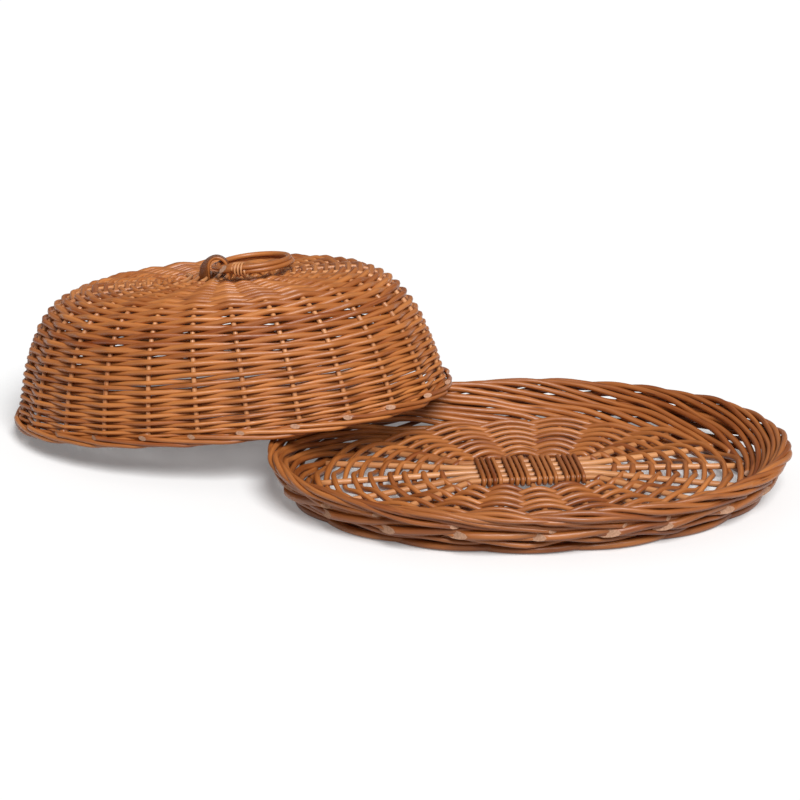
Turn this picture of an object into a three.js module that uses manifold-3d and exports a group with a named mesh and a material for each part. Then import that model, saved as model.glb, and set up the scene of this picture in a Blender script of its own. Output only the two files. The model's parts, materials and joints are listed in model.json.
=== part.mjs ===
// A willow bread basket: an oval tray and a loose domed cover with a ring handle, shown with the
// cover taken off and leaning on the tray's rim. Millimetres, +Z up, X along the tray.
import * as THREE from "three";
import { mergeVertices } from "three/addons/utils/BufferGeometryUtils.js";
import Module from "manifold-3d";

// Clearances
const FIT_GAP = 0.3; // between pieces that touch
const FACET_GAP = 0.4; // extra room where flat facets cut the corner of a curve
const COVER_PLAY = 11; // between the closed cover and the inside of the rim

// Tray
const TRAY_LENGTH = 420;
const TRAY_WIDTH = 325;
const TRAY_HEIGHT = 39.5;
const ROD_DIAMETER = 5.5;
const ROD_COUNT = 20;
const CREST_RADIUS = 4; // bend of a rod where it turns over the rim
const CREST_START = THREE.MathUtils.degToRad(20); // of that bend, inside the rim
const CREST_END = THREE.MathUtils.degToRad(165);
const RISE_PITCHES = 3; // along the rim, in rods, while a rod rises inside the tray
const CREST_PITCHES = 1; // and while it crosses the rim
const ROD_SPREAD = 2; // open gap between the rods down the outside
const FOOT_INSET = 20; // from the rim's outside to the foot's
const FOOT_WIDTH = 21;
const FOOT_HEIGHT = 6.2;
const FLOOR_INSET = 38; // from the rim's outside to the floor's edge
const FLOOR_THICKNESS = 8;
const STICK_DIAMETER = 5;
const CROSS_STICKS = 5;
const CROSS_STICK_SPACING = 22; // where they cross the long sticks
const LONG_STICKS = 5;
const LONG_STICK_SPACING = 10;
const FLOOR_ROWS = 13; // of weaving, from round the slath to the floor's edge
const EDGE_ROW_INSET = 3; // from the floor's edge to the middle of its last row
const GAP_RINGS = 6; // rings of open gaps between the rows, at every second row
const GAP_WIDTH = 5;
const GAP_MARGIN = 6; // along a row, from a stick's middle to the gap beside it

// Cover
const COVER_HEIGHT = 113.5;
const CROWN_RISE = 1.5;
const CROWN_INSET = 85; // along the length, from the border's outside to the flat of the crown
const WALL_LEAN = THREE.MathUtils.degToRad(11);
const WALL_PULL = 72; // height over which the wall's lean carries on before the shoulder bends it
const SHOULDER_PULL = 51; // length over which the crown's flat carries on out into the shoulder
const WEAVE_THICKNESS = 5;
const WEAVE_RELIEF = 3.6; // from where a weaver lies outside a stake down to where it goes inside
const CROWN_RELIEF = 2.4;
const WALL_ROWS = 36; // of weavers, from the border up to the crown
const LOW_ROW_PITCH = 2.7; // of the rows above the border, and wider further up
const CROWN_ROWS = 14;
const CROWN_SLATH = 16; // half width of the crown's slath, which its rows go round
const BORDER_WIDTH = 12;
const BORDER_HEIGHT = 11;
const RIB_DIAMETER = 4.2;
const RIB_SOCKET_DEPTH = 6; // how far a rib goes down into the border
const LONG_RIB_PAIRS = 2; // long ribs on each side of the middle one
const CROSS_RIB_PAIRS = 3;
const SLATH_SHARE = 0.5; // share of the crown inside which the ribs run straight across
const COVER_SHIFT_X = -225; // where the leaning cover stands, from the middle of the tray
const COVER_SHIFT_Y = 158;
const COVER_YAW = THREE.MathUtils.degToRad(-15);

// Handle
const RING_RADIUS = 31; // to the middle of the ring's rod
const RING_THICKNESS = 8;
const STRAP_THICKNESS = 2.2;
const STRAP_WIDTH = 11;
const STRAP_PLAY = 3; // between the ring and the strap around it
const BINDING_THICKNESS = 0.8;
const BINDING_WIDTH = 9;
const BINDING_TURN = THREE.MathUtils.degToRad(74); // from the strap, round the ring

// Fineness of the facets
const OVAL_FACETS = 48;
const ROD_SIDES = 6;
const RIB_SIDES = 5;
const STATIONS_PER_PITCH = 3;
const WALL_STEPS = 9;
const RING_SIDES = 10;
const RING_FACETS = 32;
const STRAP_FACETS = 8;
const BINDING_FACETS = 4;
const PLAN_SAMPLES = 720;
const MERGE_DISTANCE = 1e-3; // vertices closer than this are one

// Derived sizes of the tray
const ROD_RADIUS = ROD_DIAMETER / 2;
const ROD_STEP = ROD_DIAMETER + ROD_SPREAD; // from row to row down the tray's wall
const CREST_HEIGHT = TRAY_HEIGHT - ROD_RADIUS; // the rods' middle, at its highest
const CREST_INSET = ROD_RADIUS + CREST_RADIUS;
const RIM_BAND = CREST_INSET + CREST_RADIUS + ROD_RADIUS; // width of the rim, outside to inside
const STICK_RADIUS = STICK_DIAMETER / 2;
const STICK_BOTTOM = FOOT_HEIGHT + FIT_GAP;
const CROSS_STICK_HEIGHT = STICK_BOTTOM + STICK_RADIUS;
const LONG_STICK_HEIGHT = CROSS_STICK_HEIGHT + STICK_DIAMETER + FIT_GAP;
const FLOOR_TOP = STICK_BOTTOM + FLOOR_THICKNESS;
const SLATH_LENGTH = ((CROSS_STICKS - 1) / 2) * CROSS_STICK_SPACING + STICK_DIAMETER; // half of it
const SLATH_WIDTH = ((LONG_STICKS - 1) / 2) * LONG_STICK_SPACING + STICK_DIAMETER;

// Derived sizes of the cover and its handle
const COVER_HALF_LENGTH = TRAY_LENGTH / 2 - RIM_BAND - COVER_PLAY;
const COVER_HALF_WIDTH = TRAY_WIDTH / 2 - RIM_BAND - COVER_PLAY;
const RIB_RADIUS = RIB_DIAMETER / 2;
const RIB_DEPTH = WEAVE_THICKNESS + FIT_GAP + FACET_GAP + RIB_RADIUS;
const STAKES_IN_QUARTER = LONG_RIB_PAIRS + CROSS_RIB_PAIRS + 1;
const STAKE_ENDS = 4 * STAKES_IN_QUARTER;
const RING_TUBE = RING_THICKNESS / 2;
const BINDING_INNER = RING_TUBE + FIT_GAP + FACET_GAP;
const BINDING_OUTER = BINDING_INNER + BINDING_THICKNESS;
const HINGE_HEIGHT = COVER_HEIGHT + FIT_GAP + BINDING_OUTER; // the ring lies on its binding
const STRAP_INNER = RING_TUBE + STRAP_PLAY;
const STRAP_OUTER = STRAP_INNER + STRAP_THICKNESS;
const SLOT_HEIGHT = 4 * WEAVE_THICKNESS; // of the strap's slots, past both faces of the weave

const WILLOW = { color: 0xb8733f, roughness: 0.55, metalness: 0 };
const WILLOW_DARK = { color: 0xa5623a, roughness: 0.6, metalness: 0 };
const WILLOW_RIB = { color: 0xc98a55, roughness: 0.55, metalness: 0 };
const BARK = { color: 0x5a2e17, roughness: 0.7, metalness: 0 };

const wasm = await Module();
wasm.setup();

// A path through given stations, with one section of the rod at each of them.
class StationPath extends THREE.Curve {
  constructor(stations) {
    super();
    this.stations = stations;
  }

  getPoint(t, target = new THREE.Vector3()) {
    const place = t * (this.stations.length - 1);
    const index = Math.min(Math.floor(place), this.stations.length - 2);
    return target.lerpVectors(this.stations[index], this.stations[index + 1], place - index);
  }

  getUtoTmapping(share) {
    return share;
  }
}

function roundShape(radius, sides) {
  const shape = new THREE.Shape();
  for (let side = 0; side < sides; side++) {
    const angle = (2 * Math.PI * side) / sides;
    const corner = [radius * Math.cos(angle), radius * Math.sin(angle)];
    if (side === 0) shape.moveTo(...corner);
    else shape.lineTo(...corner);
  }
  shape.closePath();
  return shape;
}

function rodGeometry(stations, radius, sides) {
  return new THREE.ExtrudeGeometry(roundShape(radius, sides), {
    steps: stations.length - 1,
    extrudePath: new StationPath(stations),
  });
}

function straightRod(start, end, radius) {
  return rodGeometry([start, end], radius, ROD_SIDES);
}

function solidOf(geometry) {
  const bare = new THREE.BufferGeometry();
  const loose = geometry.index ? geometry.toNonIndexed() : geometry;
  bare.setAttribute("position", loose.getAttribute("position").clone());
  const merged = mergeVertices(bare, MERGE_DISTANCE);
  return new wasm.Manifold(
    new wasm.Mesh({
      numProp: 3,
      vertProperties: new Float32Array(merged.attributes.position.array),
      triVerts: new Uint32Array(merged.index.array),
    }),
  );
}

function geometryOf(solid) {
  const mesh = solid.getMesh();
  const geometry = new THREE.BufferGeometry();
  geometry.setAttribute("position", new THREE.BufferAttribute(mesh.vertProperties, 3));
  geometry.setIndex(new THREE.BufferAttribute(mesh.triVerts, 1));
  geometry.computeVertexNormals();
  return geometry;
}

function cut(geometry, cutters) {
  let solid = solidOf(geometry);
  for (const cutter of cutters) solid = solid.subtract(solidOf(cutter));
  return geometryOf(solid);
}

function addPiece(group, name, geometry, finish) {
  const mesh = new THREE.Mesh(geometry, new THREE.MeshStandardMaterial(finish));
  mesh.name = name;
  group.add(mesh);
  return mesh;
}

// Turns a profile round an oval. Each point of the profile is [half length, half width, height].
function ovalLathe(profile) {
  const points = profile.map(([halfLength, , height]) => new THREE.Vector2(halfLength, height));
  const geometry = new THREE.LatheGeometry(points, OVAL_FACETS);
  geometry.rotateX(Math.PI / 2);
  const position = geometry.getAttribute("position");
  for (let i = 0; i < position.count; i++) {
    const [halfLength, halfWidth] = profile[i % profile.length];
    if (halfLength > 0) position.setY(i, (position.getY(i) * halfWidth) / halfLength);
  }
  return geometry;
}

// A flat-faced oval ring between two insets from an oval, and two heights.
function ovalBand(halfLength, halfWidth, outerInset, innerInset, bottom, top) {
  const corner = (inset, height) => [halfLength - inset, halfWidth - inset, height];
  return ovalLathe([
    corner(outerInset, bottom),
    corner(outerInset, top),
    corner(innerInset, top),
    corner(innerInset, bottom),
    corner(outerInset, bottom),
  ]);
}

// Angle on an oval, at a share of the way round it by length.
function ovalAngle(outline, share) {
  const lap = share - Math.floor(share);
  return 2 * Math.PI * outline.getUtoTmapping(lap);
}

// Where a tray rod starts and ends in the wall's section, as (inset, height) of its middle: beside the
// floor's edge, and low outside on the foot.
const rodRoot = new THREE.Vector2(
  FLOOR_INSET - FIT_GAP - FACET_GAP - ROD_RADIUS,
  FOOT_HEIGHT + FIT_GAP + ROD_RADIUS,
);
const rodTail = new THREE.Vector2(FOOT_INSET, FOOT_HEIGHT + FIT_GAP + ROD_RADIUS);

function crestPoint(angle) {
  return new THREE.Vector2(
    CREST_INSET + CREST_RADIUS * Math.cos(angle),
    CREST_HEIGHT - CREST_RADIUS + CREST_RADIUS * Math.sin(angle),
  );
}

const wallStart = crestPoint(CREST_END);
const wallLength = wallStart.distanceTo(rodTail);
const FALL_STATIONS = Math.floor((wallLength / ROD_STEP) * STATIONS_PER_PITCH);
const ROD_STATIONS = (RISE_PITCHES + CREST_PITCHES) * STATIONS_PER_PITCH + FALL_STATIONS;

// Middle of a rod in the wall's section, after a number of pitches along the rim: up inside from the
// edge of the floor, over the crest, then down the outside one rod's step at each pitch.
function rodSection(pitches) {
  if (pitches < RISE_PITCHES) {
    return rodRoot.clone().lerp(crestPoint(CREST_START), pitches / RISE_PITCHES);
  }
  const past = pitches - RISE_PITCHES;
  if (past < CREST_PITCHES) {
    return crestPoint(THREE.MathUtils.lerp(CREST_START, CREST_END, past / CREST_PITCHES));
  }
  const fallen = (past - CREST_PITCHES) * ROD_STEP;
  return wallStart.clone().lerp(rodTail, fallen / wallLength);
}

function trayRod(index) {
  const rim = new THREE.EllipseCurve(0, 0, TRAY_LENGTH / 2, TRAY_WIDTH / 2);
  const stations = [];
  for (let i = 0; i <= ROD_STATIONS; i++) {
    const pitches = i / STATIONS_PER_PITCH;
    const section = rodSection(pitches);
    const angle = ovalAngle(rim, (index + pitches) / ROD_COUNT);
    stations.push(
      new THREE.Vector3(
        (TRAY_LENGTH / 2 - section.x) * Math.cos(angle),
        (TRAY_WIDTH / 2 - section.x) * Math.sin(angle),
        section.y,
      ),
    );
  }
  return rodGeometry(stations, ROD_RADIUS, ROD_SIDES);
}

// The stations of half a rod, followed by their mirror images on the way back out.
function mirrored(half, mirror) {
  const other = half.map((station) => station.clone().multiply(mirror));
  return [...half, ...other.reverse()];
}

// A point one rod's diameter past the first of a rod's stations.
function pastEnd([first, second]) {
  return first.clone().lerp(second, -ROD_DIAMETER / first.distanceTo(second));
}

// Places of a row of alike pieces, centred on the middle.
function rowPlaces(count, spacing) {
  return Array.from({ length: count }, (_, i) => (i - (count - 1) / 2) * spacing);
}

// The floor's sticks lie side by side where they cross in the middle, and fan out from there to ends
// evenly spaced round the floor's edge.
function floorSticks(floorHalfLength, floorHalfWidth) {
  const edge = new THREE.EllipseCurve(0, 0, floorHalfLength, floorHalfWidth);
  const endShare = 1 / (2 * (CROSS_STICKS + LONG_STICKS));
  const endAt = (share, height) => {
    const angle = ovalAngle(edge, share);
    return new THREE.Vector3(
      (floorHalfLength - ROD_RADIUS) * Math.cos(angle),
      (floorHalfWidth - ROD_RADIUS) * Math.sin(angle),
      height,
    );
  };
  const sticks = [];
  rowPlaces(CROSS_STICKS, 1).forEach((place, i) => {
    const bend = new THREE.Vector3(place * CROSS_STICK_SPACING, SLATH_WIDTH, CROSS_STICK_HEIGHT);
    const half = [endAt(1 / 4 - place * endShare, CROSS_STICK_HEIGHT), bend];
    sticks.push({ name: `tray_cross_stick_${i + 1}`, stations: mirrored(half, new THREE.Vector3(1, -1, 1)) });
  });
  rowPlaces(LONG_STICKS, 1).forEach((place, i) => {
    const bend = new THREE.Vector3(SLATH_LENGTH, place * LONG_STICK_SPACING, LONG_STICK_HEIGHT);
    const half = [endAt(place * endShare, LONG_STICK_HEIGHT), bend];
    sticks.push({ name: `tray_long_stick_${i + 1}`, stations: mirrored(half, new THREE.Vector3(-1, 1, 1)) });
  });
  return sticks;
}

// Half length and half width of the floor's rows of weaving, from round the slath (0) to the edge (1).
function floorRow(share, floorHalfLength, floorHalfWidth) {
  return [
    THREE.MathUtils.lerp(Math.SQRT2 * SLATH_LENGTH, floorHalfLength - EDGE_ROW_INSET, share),
    THREE.MathUtils.lerp(Math.SQRT2 * SLATH_WIDTH, floorHalfWidth - EDGE_ROW_INSET, share),
  ];
}

// Angles at which the sticks cross an oval row, in order round it.
function stickAngles(sticks, [halfLength, halfWidth]) {
  const angles = [];
  for (const { stations } of sticks) {
    for (const [end, bend] of [stations.slice(0, 2), stations.slice(-2).reverse()]) {
      const from = new THREE.Vector2(bend.x / halfLength, bend.y / halfWidth);
      const way = new THREE.Vector2(end.x / halfLength, end.y / halfWidth).sub(from);
      const lean = from.dot(way);
      const root = Math.sqrt(lean ** 2 + way.lengthSq() * (1 - from.lengthSq()));
      angles.push(from.addScaledVector(way, (root - lean) / way.lengthSq()).angle());
    }
  }
  return angles.sort((first, second) => first - second);
}

// One ring of open gaps in the floor, a four-sided gap from each stick to the next between two rows.
function floorGaps(sticks, innerRow, outerRow) {
  const corner = ([halfLength, halfWidth], angle, margin) => {
    const speed = Math.hypot(halfLength * Math.sin(angle), halfWidth * Math.cos(angle));
    const moved = angle + margin / speed;
    return new THREE.Vector2(halfLength * Math.cos(moved), halfWidth * Math.sin(moved));
  };
  const innerAngles = stickAngles(sticks, innerRow);
  const outerAngles = stickAngles(sticks, outerRow);
  const gaps = [];
  innerAngles.forEach((angle, i) => {
    const next = (i + 1) % innerAngles.length;
    const innerStart = corner(innerRow, angle, GAP_MARGIN);
    const innerEnd = corner(innerRow, innerAngles[next], -GAP_MARGIN);
    const outerStart = corner(outerRow, outerAngles[i], GAP_MARGIN);
    const outerEnd = corner(outerRow, outerAngles[next], -GAP_MARGIN);
    if (innerStart.distanceTo(innerEnd) < GAP_WIDTH) return;
    const gap = new THREE.ExtrudeGeometry(
      new THREE.Shape([innerStart, outerStart, outerEnd, innerEnd]),
      { depth: 2 * FLOOR_THICKNESS, bevelEnabled: false },
    );
    gap.translate(0, 0, STICK_BOTTOM - FLOOR_THICKNESS / 2);
    gaps.push(gap);
  });
  return gaps;
}

function floorOpenwork(sticks, floorHalfLength, floorHalfWidth) {
  const halfGap = GAP_WIDTH / 2 / (floorHalfWidth - EDGE_ROW_INSET - Math.SQRT2 * SLATH_WIDTH);
  const gaps = [];
  for (let ring = 0; ring < GAP_RINGS; ring++) {
    const share = (2 * ring + 1.5) / (FLOOR_ROWS - 1);
    const innerRow = floorRow(share - halfGap, floorHalfLength, floorHalfWidth);
    const outerRow = floorRow(share + halfGap, floorHalfLength, floorHalfWidth);
    gaps.push(...floorGaps(sticks, innerRow, outerRow));
  }
  return gaps;
}

function buildTray() {
  const tray = new THREE.Group();
  const halfLength = TRAY_LENGTH / 2;
  const halfWidth = TRAY_WIDTH / 2;
  const foot = ovalBand(halfLength, halfWidth, FOOT_INSET, FOOT_INSET + FOOT_WIDTH, 0, FOOT_HEIGHT);
  addPiece(tray, "tray_foot_wale", foot, WILLOW_DARK);

  const floorHalfLength = halfLength - FLOOR_INSET;
  const floorHalfWidth = halfWidth - FLOOR_INSET;
  const floorDisc = ovalLathe([
    [0, 0, STICK_BOTTOM],
    [floorHalfLength, floorHalfWidth, STICK_BOTTOM],
    [floorHalfLength, floorHalfWidth, FLOOR_TOP],
    [0, 0, FLOOR_TOP],
  ]);
  const sticks = floorSticks(floorHalfLength, floorHalfWidth);
  const openings = floorOpenwork(sticks, floorHalfLength, floorHalfWidth);
  for (const { name, stations } of sticks) {
    addPiece(tray, name, rodGeometry(stations, STICK_RADIUS, ROD_SIDES), WILLOW_RIB);
    const past = [pastEnd(stations), ...stations.slice(1, -1), pastEnd(stations.toReversed())];
    openings.push(rodGeometry(past, STICK_RADIUS + FIT_GAP, ROD_SIDES));
  }
  addPiece(tray, "tray_floor_weave", cut(floorDisc, openings), WILLOW);

  for (let i = 0; i < ROD_COUNT; i++) {
    addPiece(tray, `tray_rod_${String(i + 1).padStart(2, "0")}`, trayRod(i), WILLOW_DARK);
  }
  return tray;
}

// The cover's profile along its length, from the border's outside up the wall and over the shoulder to
// the flat of the crown, as (inset, height).
const coverCurve = new THREE.CubicBezierCurve(
  new THREE.Vector2(0, 0),
  new THREE.Vector2(WALL_PULL * Math.tan(WALL_LEAN), WALL_PULL),
  new THREE.Vector2(CROWN_INSET - SHOULDER_PULL, COVER_HEIGHT - CROWN_RISE),
  new THREE.Vector2(CROWN_INSET, COVER_HEIGHT - CROWN_RISE),
);

// Half length, half width and height of the cover's outline at a share of the way up its curve, at a
// depth inside the outer face.
function wallOutline(share, depth) {
  const point = coverCurve.getPoint(share);
  const tangent = coverCurve.getTangent(share);
  const size = 1 - point.x / COVER_HALF_LENGTH;
  return [
    COVER_HALF_LENGTH * size - depth * tangent.y,
    COVER_HALF_WIDTH * size - depth * tangent.y,
    point.y - depth * tangent.x,
  ];
}

// The same on the crown, at a share of the way out from its middle.
function crownOutline(share, depth) {
  const size = share * (1 - CROWN_INSET / COVER_HALF_LENGTH);
  return [
    COVER_HALF_LENGTH * size,
    COVER_HALF_WIDTH * size,
    COVER_HEIGHT - depth - CROWN_RISE * share ** 2,
  ];
}

// Outlines of one face of the cover from a height above the border up to the slath, or to the middle.
function coverOutlines(depth, fromHeight, crownShares) {
  const outlines = [];
  for (let step = 1; step <= WALL_STEPS; step++) outlines.push(wallOutline(step / WALL_STEPS, depth));
  const low = wallOutline(0, depth);
  const start = (fromHeight - low[2]) / (outlines[0][2] - low[2]);
  outlines.unshift(low.map((size, i) => THREE.MathUtils.lerp(size, outlines[0][i], start)));
  for (const share of crownShares) outlines.push(crownOutline(share, depth));
  return outlines;
}

// Outline of the crown at a depth inside its outer face and an inset from its edge.
function crownRow(inset, depth) {
  const [halfLength, halfWidth] = crownOutline(1, 0);
  const share = 1 - inset / halfWidth;
  return [halfLength - inset, halfWidth - inset, COVER_HEIGHT - depth - CROWN_RISE * share ** 2];
}

// The cover's rows of weavers from the border up and in to the slath. Each has its outline where the
// weaver lies outside a stake, and where it has gone inside.
function weaverRows() {
  const length = coverCurve.getLength();
  const woven = length - BORDER_HEIGHT;
  const lowShare = (LOW_ROW_PITCH * WALL_ROWS) / woven;
  const rows = [];
  for (let row = 1; row < WALL_ROWS; row++) {
    const share = row / WALL_ROWS;
    const place = BORDER_HEIGHT + woven * (lowShare * share + (1 - lowShare) * share ** 2);
    const t = coverCurve.getUtoTmapping(place / length);
    rows.push({ proud: wallOutline(t, 0), sunk: wallOutline(t, WEAVE_RELIEF) });
  }
  const crownPitch = (crownOutline(1, 0)[1] - CROWN_SLATH) / (CROWN_ROWS - 1);
  for (let row = 0; row < CROWN_ROWS; row++) {
    const inset = row * crownPitch;
    rows.push({ proud: crownRow(inset, 0), sunk: crownRow(inset, CROWN_RELIEF) });
  }
  return rows;
}

// The weave's shell. Round each row of weavers, its outer face stands proud at every second stake, where
// the weaver lies outside, and the next row has its turn at the stakes between.
function coverWeave() {
  const seat = BORDER_HEIGHT + FIT_GAP;
  const inner = coverOutlines(WEAVE_THICKNESS, seat, [SLATH_SHARE, 0]).reverse();
  const [foot] = coverOutlines(0, seat, []);
  const rows = weaverRows();
  const profileAt = (column) => {
    const stake = column / 2;
    const face = rows.map(({ proud, sunk }, row) => ((row + stake) % 2 === 0 ? proud : sunk));
    return [...inner, foot, ...face, [0, 0, COVER_HEIGHT]];
  };
  const rim = new THREE.EllipseCurve(0, 0, COVER_HALF_LENGTH, COVER_HALF_WIDTH);
  const columns = 2 * STAKE_ENDS;
  const first = profileAt(0);
  const points = first.map(([halfLength, , height]) => new THREE.Vector2(halfLength, height));
  const geometry = new THREE.LatheGeometry(points, columns);
  const position = geometry.getAttribute("position");
  for (let column = 0; column <= columns; column++) {
    const angle = ovalAngle(rim, column / columns);
    profileAt(column).forEach(([halfLength, halfWidth, height], i) => {
      const vertex = column * first.length + i;
      position.setXYZ(vertex, halfLength * Math.cos(angle), halfWidth * Math.sin(angle), height);
    });
  }
  return geometry;
}

// One rib from the border up the wall at the given angle, straight across the crown, and down again on
// the other side. A cross rib goes back over the long axis and dips under the long ribs.
function ribStations(angle, isCross) {
  const socket = BORDER_HEIGHT - RIB_SOCKET_DEPTH + FIT_GAP;
  const outlines = coverOutlines(RIB_DEPTH, socket, [SLATH_SHARE]);
  const half = outlines.map(
    ([halfLength, halfWidth, height]) =>
      new THREE.Vector3(halfLength * Math.cos(angle), halfWidth * Math.sin(angle), height),
  );
  if (isCross) half[half.length - 1].z -= RIB_DIAMETER + FIT_GAP + FACET_GAP;
  return mirrored(half, isCross ? new THREE.Vector3(1, -1, 1) : new THREE.Vector3(-1, 1, 1));
}

function coverRibs() {
  const rim = new THREE.EllipseCurve(0, 0, COVER_HALF_LENGTH, COVER_HALF_WIDTH);
  const stakeShare = 1 / STAKE_ENDS;
  const ribs = [];
  for (let i = -LONG_RIB_PAIRS; i <= LONG_RIB_PAIRS; i++) {
    const name = `cover_long_rib_${i + LONG_RIB_PAIRS + 1}`;
    ribs.push({ name, stations: ribStations(ovalAngle(rim, i * stakeShare), false) });
  }
  for (let i = -CROSS_RIB_PAIRS; i <= CROSS_RIB_PAIRS; i++) {
    const name = `cover_cross_rib_${i + CROSS_RIB_PAIRS + 1}`;
    ribs.push({ name, stations: ribStations(ovalAngle(rim, (STAKES_IN_QUARTER - i) * stakeShare), true) });
  }
  return ribs;
}

function strapShape() {
  const foot = COVER_HEIGHT - WEAVE_THICKNESS + FIT_GAP - HINGE_HEIGHT;
  const shape = new THREE.Shape();
  shape.moveTo(STRAP_OUTER, foot);
  shape.lineTo(STRAP_OUTER, 0);
  shape.absarc(0, 0, STRAP_OUTER, 0, Math.PI, false);
  shape.lineTo(-STRAP_OUTER, foot);
  shape.lineTo(-STRAP_INNER, foot);
  shape.lineTo(-STRAP_INNER, 0);
  shape.absarc(0, 0, STRAP_INNER, Math.PI, 0, true);
  shape.lineTo(STRAP_INNER, foot);
  shape.closePath();
  return shape;
}

// The strap stands across the ring, its bend round the hinge line.
function strapGeometry() {
  const geometry = new THREE.ExtrudeGeometry(strapShape(), {
    depth: STRAP_WIDTH,
    bevelEnabled: false,
    curveSegments: STRAP_FACETS,
  });
  geometry.translate(0, 0, -STRAP_WIDTH / 2);
  geometry.rotateX(Math.PI / 2);
  geometry.translate(0, 0, HINGE_HEIGHT);
  return geometry;
}

function strapSlots() {
  return [-1, 1].map((side) => {
    const slot = new THREE.BoxGeometry(
      STRAP_THICKNESS + 2 * FIT_GAP,
      STRAP_WIDTH + 2 * FIT_GAP,
      SLOT_HEIGHT,
    );
    slot.translate((side * (STRAP_INNER + STRAP_OUTER)) / 2, 0, COVER_HEIGHT);
    return slot;
  });
}

// A sleeve of binding round the ring's rod.
function bindingGeometry() {
  const shape = roundShape(BINDING_OUTER, RING_SIDES);
  shape.holes.push(roundShape(BINDING_INNER, RING_SIDES));
  const turn = BINDING_WIDTH / RING_RADIUS;
  const stations = [];
  for (let i = 0; i <= BINDING_FACETS; i++) {
    const angle = Math.PI + BINDING_TURN + turn * (i / BINDING_FACETS - 0.5);
    stations.push(new THREE.Vector3(RING_RADIUS * Math.cos(angle), RING_RADIUS * Math.sin(angle), 0));
  }
  return new THREE.ExtrudeGeometry(shape, {
    steps: BINDING_FACETS,
    extrudePath: new StationPath(stations),
  });
}

// How the cover leans: its border's inner edge rests on the rim's crest at two places, and the far side
// of the border stands on the table.
function leaningPose() {
  const innerLength = COVER_HALF_LENGTH - BORDER_WIDTH;
  const innerWidth = COVER_HALF_WIDTH - BORDER_WIDTH;
  const shift = new THREE.Vector2(COVER_SHIFT_X, COVER_SHIFT_Y);
  const origin = new THREE.Vector2();
  const contacts = [];
  let last = null;
  for (let i = 0; i <= PLAN_SAMPLES; i++) {
    const angle = (2 * Math.PI * i) / PLAN_SAMPLES;
    const point = new THREE.Vector2(innerLength * Math.cos(angle), innerWidth * Math.sin(angle));
    point.rotateAround(origin, COVER_YAW).add(shift);
    const outside =
      (point.x / (TRAY_LENGTH / 2 - CREST_INSET)) ** 2 +
        (point.y / (TRAY_WIDTH / 2 - CREST_INSET)) ** 2 >
      1;
    if (last && outside !== last.outside) contacts.push(point.clone().lerp(last.point, 0.5));
    last = { point, outside };
  }
  const [first, second] = contacts;
  const along = second.clone().sub(first).normalize();
  const uphill = new THREE.Vector2(along.y, -along.x);
  if (uphill.dot(first.clone().sub(shift)) < 0) uphill.negate();
  const facing = uphill.angle() - COVER_YAW;
  const reach = Math.hypot(COVER_HALF_LENGTH * Math.cos(facing), COVER_HALF_WIDTH * Math.sin(facing));
  const toRim = reach + uphill.dot(first.clone().sub(shift));
  const tilt = Math.asin((TRAY_HEIGHT + FIT_GAP) / toRim);
  return { uphill, tilt, height: reach * Math.sin(tilt) };
}

function buildCover() {
  const cover = new THREE.Group();
  const ribs = coverRibs();
  addPiece(cover, "cover_weave", cut(coverWeave(), strapSlots()), WILLOW);
  const sockets = [];
  for (const { name, stations } of ribs) {
    addPiece(cover, name, rodGeometry(stations, RIB_RADIUS, RIB_SIDES), WILLOW_RIB);
    for (const ends of [stations.slice(0, 2), stations.slice(-2).reverse()]) {
      const below = ends[0].clone().lerp(ends[1], -FIT_GAP / ends[0].distanceTo(ends[1]));
      sockets.push(straightRod(below, ends[1], RIB_RADIUS + FIT_GAP));
    }
  }
  const border = ovalBand(COVER_HALF_LENGTH, COVER_HALF_WIDTH, 0, BORDER_WIDTH, 0, BORDER_HEIGHT);
  addPiece(cover, "cover_border", cut(border, sockets), WILLOW_DARK);
  addPiece(cover, "handle_strap", strapGeometry(), BARK);

  const ring = new THREE.Group();
  ring.position.set(RING_RADIUS, 0, HINGE_HEIGHT);
  const torus = new THREE.TorusGeometry(RING_RADIUS, RING_TUBE, RING_SIDES, RING_FACETS);
  addPiece(ring, "handle_ring", torus, WILLOW_DARK);
  addPiece(ring, "handle_binding", bindingGeometry(), WILLOW_RIB);
  cover.add(ring);

  const { uphill, tilt, height } = leaningPose();
  const tiltAxis = new THREE.Vector3(uphill.y, -uphill.x, 0);
  cover.quaternion.setFromAxisAngle(tiltAxis, tilt);
  cover.quaternion.multiply(
    new THREE.Quaternion().setFromAxisAngle(new THREE.Vector3(0, 0, 1), COVER_YAW),
  );
  cover.position.set(COVER_SHIFT_X, COVER_SHIFT_Y, height);
  return cover;
}

// The whole set stands on z = 0, with the origin under the middle of its box.
const basket = new THREE.Group();
basket.name = "bread_basket";
basket.add(buildTray(), buildCover());
basket.updateMatrixWorld(true);
const box = new THREE.Box3().setFromObject(basket, true);
const middle = box.getCenter(new THREE.Vector3());
basket.position.set(-middle.x, -middle.y, -box.min.z);

export default basket;
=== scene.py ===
"""An oval wicker bread box: a low tray of thick willow rods and its domed cover, leaning on the rim.

Every rod, stick, stake and weaver is one length of willow, swept along the way it goes in the basket.
Lengths are in metres. The tray's pieces are worked out in the tray's own frame, with its middle on the
floor at the origin. The cover's are worked out in the cover's frame, which lies on its lower edge.
"""

import json
import math
import random

import bmesh
import bpy
import numpy as np
from mathutils import Matrix, Vector


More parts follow.
